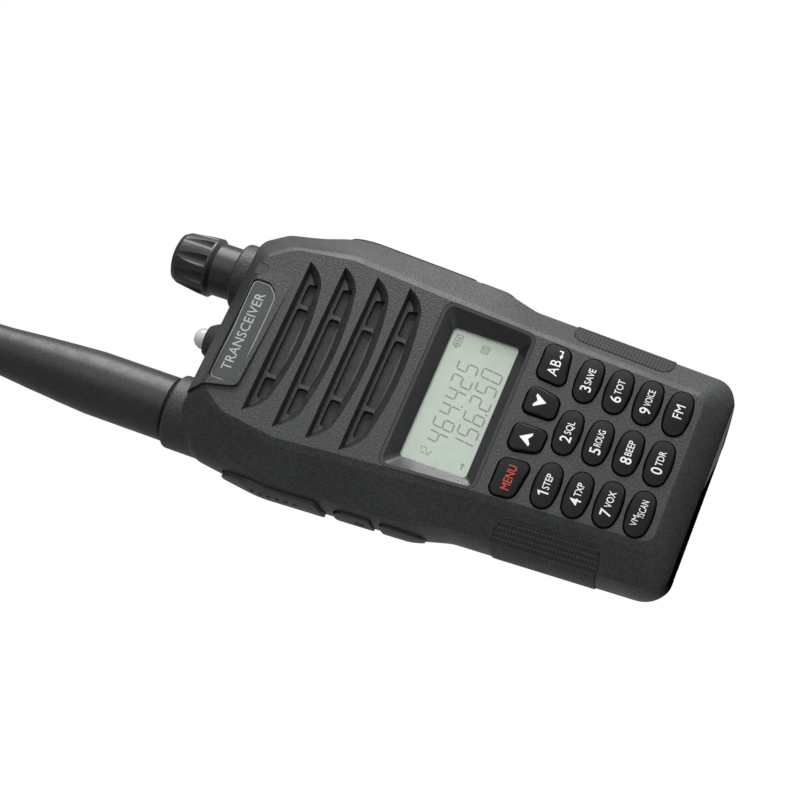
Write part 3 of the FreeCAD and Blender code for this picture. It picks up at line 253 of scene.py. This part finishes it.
# %% Metals, boards, cell wrap and cloth
steel = surface("steel", (0.55, 0.55, 0.54), (0.25, 0.4), 0.5, 0.006, 6, 0.08, metallic=1.0)
brass = surface("brass", (0.72, 0.53, 0.24), (0.2, 0.36), 0.5, 0.006, 5, 0.08, metallic=1.0)
board = surface("board", (0.02, 0.09, 0.045), (0.3, 0.4), 0.8, 0.02, 12, 0.15)
cell_wrap = surface("cell_wrap", (0.45, 0.46, 0.48), (0.28, 0.42), 1.5, 0.03, 12, 0.08)
cloth = surface("cloth", (0.045, 0.046, 0.046), (0.8, 0.95), 0.22, 0.12, 4, 0.3)
grey_plastic = surface("grey_plastic", (0.3, 0.3, 0.3), (0.4, 0.55), 0.5, 0.02, 8, 0.08)
finish(steel, "case_screws", "deck_nuts", "volume_shaft", "volume_control", "shield_can", "speaker",
       "microphone", "key_domes", "battery_striker")
finish(brass, "aerial_ferrule", "aerial_socket", "accessory_jacks", "battery_contacts", "radio_contacts",
       "aerial_coil")
finish(board, "main_board", "keypad_board", "side_switch_board")
finish(cell_wrap, "battery_cells")
finish(cloth, "speaker_felt")
finish(grey_plastic, "side_switches", "display_backlight")

# %% [markdown]
# ## The screen
# A reflective liquid crystal screen is pale grey-green, with a smooth film over a mirror.
# Figures are dark because the crystal under them twists the light into a second polariser.

# %% Screen glass, plate paint and inks
screen_glass = surface("screen_glass", (0.70, 0.80, 0.69), (0.3, 0.42), 0.6, 0.004, 9, 0.04)
finish(screen_glass, "display_module")
label_paint = surface("label_paint", (0.03, 0.036, 0.033), (0.3, 0.42), 0.5, 0.006, 7, 0.12)
finish(label_paint, "label_plate")
silver_ink = surface("silver_ink", (0.30, 0.31, 0.29), (0.35, 0.5), 0.3, 0.004, 3, 0.1, metallic=0.4)
white_ink = surface("white_ink", (0.72, 0.73, 0.72), (0.4, 0.5), 0.3, 0.003, 3, 0.06)
red_ink = surface("red_ink", (0.50, 0.035, 0.022), (0.4, 0.5), 0.3, 0.003, 3, 0.08)
lcd_ink = surface("lcd_ink", (0.24, 0.28, 0.22), (0.35, 0.45), 0.6, 0.002, 4, 0.08)


# %% [markdown]
# ## Printing
# Legends are pad-printed: a silicone pad picks up ink and presses it on the cap, so the print follows
# the dome.  Each legend here is cut from a flat outline, laid over the cap from the front, and sunk
# until it floats a few hundredths of a millimetre above it, like a real layer of ink.


# %% Lay flat outlines on a piece
def front_of(node, x, z):
    """Y of a piece's surface met by a line that comes from the front at x, z (metres)."""
    start = Vector((x, -0.1, z))
    hit, spot, _, _ = nodes[node].ray_cast(start, Vector((0, 1, 0)))
    return spot.y if hit else None


def flat_path(points, width_mm):
    """A flat ribbon of even width along a line of points (millimetres), as a mesh in XY."""
    half = width_mm / 2
    left, right = [], []
    for i, (px, py) in enumerate(points):
        before = points[max(i - 1, 0)]
        after = points[min(i + 1, len(points) - 1)]
        first = Vector((px - before[0], py - before[1]))
        second = Vector((after[0] - px, after[1] - py))
        first = (first if first.length else second).normalized()
        second = (second if second.length else first).normalized()
        side = Vector((-(first.y + second.y), first.x + second.x)).normalized()
        reach = half / max(0.35, side.dot(Vector((-first.y, first.x))))
        left.append((px + side.x * reach, py + side.y * reach))
        right.append((px - side.x * reach, py - side.y * reach))
    mesh = bpy.data.meshes.new("ribbon")
    corners = [(x * MM, y * MM, 0) for x, y in left + right]
    count = len(points)
    mesh.from_pydata(corners, [], [(i, i + 1, count + i + 1, count + i) for i in range(count - 1)])
    return mesh


def text_mesh(words, height_mm, bold=0.0, spacing=1.0, narrow=1.0):
    """The outline of some words as a flat mesh in XY, centred on the origin, height_mm tall capitals."""
    curve = bpy.data.curves.new("words", "FONT")
    curve.body = words
    curve.size = height_mm * MM / 0.73
    curve.offset = bold * height_mm * MM
    curve.space_character = spacing
    curve.resolution_u = 3
    holder = bpy.data.objects.new("words", curve)
    bpy.context.scene.collection.objects.link(holder)
    bpy.context.view_layer.update()
    mesh = bpy.data.meshes.new_from_object(holder)
    bpy.data.objects.remove(holder)
    xs = [v.co.x for v in mesh.vertices]
    middle_x = (min(xs) + max(xs)) / 2
    for v in mesh.vertices:
        v.co = Vector(((v.co.x - middle_x) * narrow, v.co.y - height_mm * MM / 2, 0))
    return mesh, (max(xs) - min(xs)) * narrow


INK = 0.012 * MM


def printed(name, mesh, node, x, z, material, body, lift=INK, fine=0.4):
    """Lay a flat mesh on a piece at x, z (metres), following its front, and let it ride on a body."""
    shape = bmesh.new()
    shape.from_mesh(mesh)
    bpy.data.meshes.remove(mesh)
    bmesh.ops.triangulate(shape, faces=shape.faces)
    for _ in range(4):
        long_edges = [e for e in shape.edges if e.calc_length() > fine * MM * 1.6]
        if not long_edges:
            break
        bmesh.ops.subdivide_edges(shape, edges=long_edges, cuts=1)
        bmesh.ops.triangulate(shape, faces=shape.faces)
    for v in shape.verts:
        spot_x, spot_z = x + v.co.x, z + v.co.y
        front = front_of(node, spot_x, spot_z)
        v.co = Vector((spot_x, (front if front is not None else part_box(node)[0].y) - lift, spot_z))
    bmesh.ops.recalc_face_normals(shape, faces=shape.faces)
    total = sum((f.normal.y * f.calc_area() for f in shape.faces), 0.0)
    if total > 0:
        bmesh.ops.reverse_faces(shape, faces=shape.faces)
    made = bpy.data.meshes.new(name)
    shape.to_mesh(made)
    shape.free()
    made.materials.append(material)
    piece = bpy.data.objects.new(name, made)
    bpy.context.scene.collection.objects.link(piece)
    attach(piece, body)
    return piece


# %% [markdown]
# Each digit key carries its figure and, beside it in smaller letters, a plain word for its second
# use.  The figure and the word together are centred on the cap.

# %% Legends of the digit keys
FIGURE_TALL = 2.5
WORD_TALL = 1.6
WORD_WIDEST = 3.9 * MM
LEGEND_GAP = 0.42 * MM
ONE_LINE, ONE_THICK, ONE_WIDE = [(-0.62, 0.72), (0.1, 1.12), (0.1, -1.08)], 0.36, 0.9 * MM
SECOND_USE = {
    "1": "STEP", "2": "SQL", "3": "SAVE", "4": "TXP", "5": "ROUG", "6": "TOT", "7": "VOX", "8": "BEEP",
    "9": "VOICE", "0": "TDR",
}
for figure, word in SECOND_USE.items():
    node = "key_" + figure
    low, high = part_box(node)
    middle_x, middle_z = (low.x + high.x) / 2, (low.z + high.z) / 2
    if figure == "1":
        big, big_wide = flat_path(ONE_LINE, ONE_THICK), ONE_WIDE
    else:
        big, big_wide = text_mesh(figure, FIGURE_TALL, 0.012, narrow=0.92)
    small, small_wide = text_mesh(word, WORD_TALL, 0.006, narrow=0.8)
    squeeze = min(1.0, WORD_WIDEST / small_wide)
    small_wide *= squeeze
    for v in small.vertices:
        v.co.x *= squeeze
    total = big_wide + LEGEND_GAP + small_wide
    printed("legend_figure_" + figure, big, node, middle_x - total / 2 + big_wide / 2, middle_z,
            white_ink, node)
    printed("legend_word_" + figure, small, node, middle_x + total / 2 - small_wide / 2, middle_z,
            white_ink, node)
print(len(SECOND_USE), "digit legends")

# %% [markdown]
# The other keys carry a word or a plain arrow.  The menu key is red, so that a learner finds it.

# %% Legends of the command keys
WORDS = {
    "legend_key_menu": ("key_menu", "MENU", 2.0, red_ink, 5.6, -0.1, 0.1),
    "legend_key_fm": ("key_fm", "FM", 2.1, white_ink, 3.1, 0.3, 0.0),
    "legend_key_vm": ("key_scan", "VM", 1.45, white_ink, 2.3, -1.9, 0.55),
    "legend_key_scan": ("key_scan", "/SCAN", 1.55, white_ink, 3.9, 1.1, -0.25),
}
for name, (node, word, tall, ink, wide_mm, right_mm, up_mm) in WORDS.items():
    low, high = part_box(node)
    mesh, wide = text_mesh(word, tall)
    for v in mesh.vertices:
        v.co.x *= wide_mm * MM / wide
    printed(name, mesh, node, (low.x + high.x) / 2 + right_mm * MM, (low.z + high.z) / 2 + up_mm * MM,
            ink, node)


def flat_shape(corners):
    """One flat face from its corners (millimetres), as a mesh in XY."""
    mesh = bpy.data.meshes.new("shape")
    mesh.from_pydata([(x * MM, y * MM, 0) for x, y in corners], [], [tuple(range(len(corners)))])
    return mesh


for node, sign in (("key_up", 1), ("key_down", -1)):
    low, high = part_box(node)
    arrow = flat_shape([(0, 1.35 * sign), (1.55, -1.15 * sign), (1.05, -1.3 * sign), (0, -0.6 * sign),
                        (-1.05, -1.3 * sign), (-1.55, -1.15 * sign)][::sign])
    printed("legend_" + node, arrow, node, (low.x + high.x) / 2, (low.z + high.z) / 2 + 0.0004, white_ink, node)

low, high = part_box("key_ab")
middle_x, middle_z = (low.x + high.x) / 2, (low.z + high.z) / 2
mesh, _ = text_mesh("AB", 2.4, 0.004, spacing=1.12, narrow=0.86)
printed("legend_key_ab", mesh, "key_ab", middle_x - 0.0010, middle_z + 0.0001, white_ink, "key_ab")
hook = flat_path([(0.75, 0.6), (0.75, -0.2), (-0.35, -0.2)], 0.26)
printed("legend_key_ab_hook", hook, "key_ab", middle_x + 0.0024, middle_z - 0.0004, white_ink, "key_ab")
head = flat_shape([(-0.45, 0), (0.4, -0.45), (0.4, 0.45)])
printed("legend_key_ab_head", head, "key_ab", middle_x + 0.0017, middle_z - 0.0006, white_ink, "key_ab")
print("command legends done")

# %% [markdown]
# ## Figures on the screen
# Such screens draw each figure with seven bars, leaning a little to the right.  A table of which bars
# are dark makes each figure.  The figures stand just behind the window on the screen glass.

# %% Seven-bar figures
BARS = {
    "0": "abcdef", "1": "bc", "2": "abged", "3": "abgcd", "4": "fgbc", "5": "afgcd", "6": "afgedc",
    "7": "abc", "8": "abcdefg", "9": "abcdfg",
}
LEAN = 0.13


def bar_shape(kind, wide, tall, thick):
    """Corners of one bar of a seven-bar figure in a cell that starts at 0, 0 (millimetres)."""
    gap = thick * 0.16
    half = thick / 2
    if kind in "agd":
        level = {"a": tall - half, "g": tall / 2, "d": half}[kind]
        x0, x1 = half + gap, wide - half - gap
        return [(x0, level), (x0 + half, level + half), (x1 - half, level + half), (x1, level),
                (x1 - half, level - half), (x0 + half, level - half)]
    across = wide - half if kind in "bc" else half
    y0, y1 = (tall / 2 + gap, tall - half - gap) if kind in "bf" else (half + gap, tall / 2 - gap)
    return [(across, y0), (across + half, y0 + half), (across + half, y1 - half), (across, y1),
            (across - half, y1 - half), (across - half, y0 + half)]


def figures_mesh(words, wide, tall, thick, step):
    """A row of seven-bar figures as one flat mesh, its lower left corner on the origin (millimetres)."""
    corners, faces = [], []
    x = 0.0
    for letter in words:
        if letter == ".":
            shapes = [[(x - 0.45, 0), (x - 0.45, thick * 1.1), (x - 0.05, thick * 1.1), (x - 0.05, 0)]]
            x += 0.3
        else:
            shapes = [[(x + px, y) for px, y in bar_shape(bar, wide, tall, thick)] for bar in BARS[letter]]
            x += step
        for shape in shapes:
            faces.append(range(len(corners), len(corners) + len(shape)))
            corners += [((px + py * LEAN) * MM, py * MM, 0) for px, py in shape]
    mesh = bpy.data.meshes.new("figures")
    mesh.from_pydata(corners, [], [tuple(f) for f in faces])
    return mesh


screen_low, screen_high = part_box("display_module")
SCREEN_X = (screen_low.x + screen_high.x) / 2
SCREEN_Z = (screen_low.z + screen_high.z) / 2
FIGURE_WIDE, FIGURE_HIGH, BAR_THICK, FIGURE_STEP = 2.5, 4.9, 0.4, 3.42
ROWS = {"464.425": -1.0, "156.250": -6.6}
INK_ON_GLASS = 0.01 * MM


def on_screen(name, mesh, right_mm, up_mm):
    """Lay a flat mesh on the screen glass, measured from the middle of the screen."""
    return printed(name, mesh, "display_module", SCREEN_X + right_mm * MM, SCREEN_Z + up_mm * MM,
                   lcd_ink, "radio", INK_ON_GLASS, 3.0)


for number, (words, up_mm) in enumerate(ROWS.items()):
    on_screen(f"screen_row_{number}", figures_mesh(words, FIGURE_WIDE, FIGURE_HIGH, BAR_THICK, FIGURE_STEP),
              -10.9, up_mm)
on_screen("screen_channel", figures_mesh("12", 1.05, 2.5, 0.22, 1.3), -14.7, 1.5)

# %% [markdown]
# Small signs stand at the edges of such a screen: how full the battery is, which mode is on, and an
# arrow that points at the row in use.

# %% Signs at the edges of the screen
SIGN_TOP = 5.7
on_screen("sign_battery_case",
          flat_path([(-1.2, 0.75), (1.4, 0.75), (1.4, -0.75), (-1.2, -0.75), (-1.2, 0.78)], 0.22),
          13.5, SIGN_TOP)
on_screen("sign_battery_pole",
          flat_shape([(-1.7, -0.35), (-1.35, -0.35), (-1.35, 0.35), (-1.7, 0.35)]), 13.5, SIGN_TOP)
for bar in range(3):
    on_screen(f"sign_battery_bar_{bar}",
              flat_shape([(-0.2, -0.42), (0.2, -0.42), (0.2, 0.42), (-0.2, 0.42)]), 12.8 + 0.7 * bar, SIGN_TOP)
on_screen("sign_mode_case",
          flat_path([(-0.8, 0.75), (0.8, 0.75), (0.8, -0.75), (-0.8, -0.75), (-0.8, 0.78)], 0.24),
          13.4, -0.6)
for line in (-1, 0, 1):
    on_screen(f"sign_mode_line_{line + 1}", flat_path([(-0.5, 0), (0.5, 0)], 0.18), 13.4, -0.6 + 0.38 * line)
ROW_ARROW = [(-0.8, -0.2), (0.1, -0.2), (0.1, -0.6), (0.8, 0), (0.1, 0.6), (0.1, 0.2), (-0.8, 0.2)]
on_screen("sign_row_arrow", flat_shape(ROW_ARROW), -13.6, -5.8)
print("screen figures", list(ROWS))

# %% [markdown]
# ## The name plate
# A thin aluminium plate, painted dark, with a fine border and plain capitals left in bright metal.
# The word is a plain one that says what the thing is.

# %% Word and border of the plate
plate_low, plate_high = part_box("label_plate")
plate_x = (plate_low.x + plate_high.x) / 2
plate_z = (plate_low.z + plate_high.z) / 2
mesh, wide = text_mesh("TRANSCEIVER", 2.3, 0.01, 1.05, 0.95)
printed("plate_word", mesh, "label_plate", plate_x, plate_z + 0.0006, silver_ink, "radio")
EDGE_INSET = 0.4 * MM
EDGE_STEPS = 90
EDGE_LINE = 0.16
FARTHEST = 20 * MM
HALVINGS = 14


def edge_of(node, x, z, angle):
    """The last place on a piece, seen from the front, on the way out from x, z at an angle."""
    inside, outside = 0.0, FARTHEST
    for _ in range(HALVINGS):
        reach = (inside + outside) / 2
        if front_of(node, x + reach * math.cos(angle), z + reach * math.sin(angle)) is None:
            outside = reach
        else:
            inside = reach
    reach = inside - EDGE_INSET
    return reach * math.cos(angle), reach * math.sin(angle)


def even_angle(step):
    """Angles crowded towards the two ends of a long plate, so that the places on its edge are even."""
    turn = math.tau * step / EDGE_STEPS
    return math.atan2((plate_high.z - plate_low.z) * math.sin(turn),
                      (plate_high.x - plate_low.x) * math.cos(turn))


border = [edge_of("label_plate", plate_x, plate_z, even_angle(step)) for step in range(EDGE_STEPS + 1)]
printed("plate_border", flat_path([(x / MM, z / MM) for x, z in border], EDGE_LINE), "label_plate",
        plate_x, plate_z, silver_ink, "radio")
print("plate word is", round(wide / MM, 1), "mm wide on a plate of",
      round((plate_high.x - plate_low.x) / MM, 1))

# %% [markdown]
# ## Touch marks on the side buttons
# Small raised beads tell the thumb which button it is on: a row of six on the talk button, two bars on
# the upper side button and one on the lower.  Each bead is a tiny cushion set on the button's skin.


# %% Beads and bars
def bead(name, node, body, back_mm, up_mm, long_mm, wide_mm, high_mm):
    """A rounded bar on the left side of a button, at a place measured back from the middle and up."""
    start = Vector((-0.1, back_mm * MM, up_mm * MM))
    _, spot, normal, _ = nodes[node].ray_cast(start, Vector((1, 0, 0)))
    shape = bmesh.new()
    bmesh.ops.create_cube(shape, size=1.0)
    for v in shape.verts:
        v.co = Vector((v.co.x * high_mm * 2, v.co.y * wide_mm, v.co.z * long_mm)) * MM
    bmesh.ops.bevel(shape, geom=shape.edges[:], offset=high_mm * 0.8 * MM, segments=3,
                    affect="EDGES", profile=0.5)
    mesh = bpy.data.meshes.new(name)
    shape.to_mesh(mesh)
    shape.free()
    for face in mesh.polygons:
        face.use_smooth = True
    mesh.materials.append(button_rubber)
    piece = bpy.data.objects.new(name, mesh)
    piece.matrix_world = Matrix.Translation(spot) @ (-normal).to_track_quat("X", "Z").to_matrix().to_4x4()
    bpy.context.scene.collection.objects.link(piece)
    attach(piece, body)
    return piece


for number in range(6):
    bead(f"talk_bead_{number}", "ptt_button", "talk_button", -5.6, 80.6 + 2.0 * number, 1.0, 0.7, 0.22)
bead("upper_bar_front", "side_button_upper", "upper_button", -8.2, 66.0, 2.2, 0.8, 0.25)
bead("upper_bar_back", "side_button_upper", "upper_button", -4.6, 66.0, 2.2, 0.8, 0.25)
bead("lower_bar", "side_button_lower", "lower_button", -7.8, 56.0, 2.2, 0.8, 0.25)
print("beads on the side buttons")

# %% [markdown]
# ## Floor, light and camera
# The radio stands on a pale floor that is only seen from above, under a large soft box to its right
# and in front, with a weaker one straight in front: the right bevels shine, and the left ones stay
# dark.  The floor lets light and sight through from below.

# %% Floor
floor_mesh = bpy.data.meshes.new("floor")
HALF = 3
floor_mesh.from_pydata([(-HALF, -HALF, 0), (HALF, -HALF, 0), (HALF, HALF, 0), (-HALF, HALF, 0)], [],
                       [(0, 1, 2, 3)])
floor = bpy.data.objects.new("floor", floor_mesh)
bpy.context.scene.collection.objects.link(floor)
pale = surface("pale_floor", (0.8, 0.8, 0.8), (0.6, 0.7), 2.0, 0.01, 200, 0.01)
through = add(pale, "ShaderNodeBsdfTransparent")
side = add(pale, "ShaderNodeNewGeometry")
choice = add(pale, "ShaderNodeMixShader")
output = pale.node_tree.nodes["Material Output"]
link(pale, side.outputs["Backfacing"], choice.inputs[0])
link(pale, pale.node_tree.nodes["Principled BSDF"].outputs[0], choice.inputs[1])
link(pale, through.outputs[0], choice.inputs[2])
link(pale, choice.outputs[0], output.inputs["Surface"])
floor_mesh.materials.append(pale)

# %% [markdown]
# The surroundings are plain white to the camera and a softer grey to the radio, so that the picture
# has a clean ground and the radio keeps its shadows.

# %% White surroundings and soft boxes
world = bpy.data.worlds.new("studio")
bpy.context.scene.world = world
world.use_nodes = True
tree = world.node_tree
sky = tree.nodes["Background"]
sky.inputs["Color"].default_value = (1, 1, 1, 1)
sky.inputs["Strength"].default_value = 0.42
white = tree.nodes.new("ShaderNodeBackground")
white.inputs["Strength"].default_value = 1.0
white.inputs["Color"].default_value = (1, 1, 1, 1)
seen = tree.nodes.new("ShaderNodeLightPath")
pick = tree.nodes.new("ShaderNodeMixShader")
tree.links.new(seen.outputs["Is Camera Ray"], pick.inputs[0])
tree.links.new(sky.outputs[0], pick.inputs[1])
tree.links.new(white.outputs[0], pick.inputs[2])
tree.links.new(pick.outputs[0], tree.nodes["World Output"].inputs["Surface"])
AIM = Vector((-5.2, -16.5, 66.0)) * MM


def soft_box(name, direction, distance, size, power):
    """A square area light that shines on the radio from a direction."""
    light = bpy.data.lights.new(name, "AREA")
    light.size = size
    light.energy = power
    lamp = bpy.data.objects.new(name, light)
    lamp.location = AIM + Vector(direction).normalized() * distance
    lamp.rotation_mode = "QUATERNION"
    lamp.rotation_quaternion = Vector(direction).to_track_quat("Z", "Y")
    bpy.context.scene.collection.objects.link(lamp)
    return lamp


soft_box("key_box", (0.855, -0.411, 0.316), 0.9, 0.7, 12.0)
soft_box("front_box", (0.1, -0.9, 0.35), 1.2, 0.8, 3.0)

# %% [markdown]
# The camera is a little below the radio's middle and to its left, with a long lens, and is rolled
# until the radio lies along the picture.

# %% Camera
right = Vector((0.37606, 0.07215, -0.92378))
up = Vector((0.85503, -0.41121, 0.31596))
forward = Vector((0.35707, 0.90868, 0.21633))
camera = bpy.data.cameras.new("camera")
camera.lens = 90
camera.sensor_width = 36
camera.clip_start, camera.clip_end = 0.01, 50
eye = bpy.data.objects.new("camera", camera)
bpy.context.scene.collection.objects.link(eye)
eye.matrix_world = Matrix((
    (right.x, up.x, -forward.x, 0), (right.y, up.y, -forward.y, 0), (right.z, up.z, -forward.z, 0),
    (0, 0, 0, 1)))
DISTANCE = 0.4255
eye.location = AIM - forward * DISTANCE
bpy.context.scene.camera = eye
bpy.context.scene.view_settings.view_transform = "Standard"
bpy.context.scene.view_settings.look = "None"
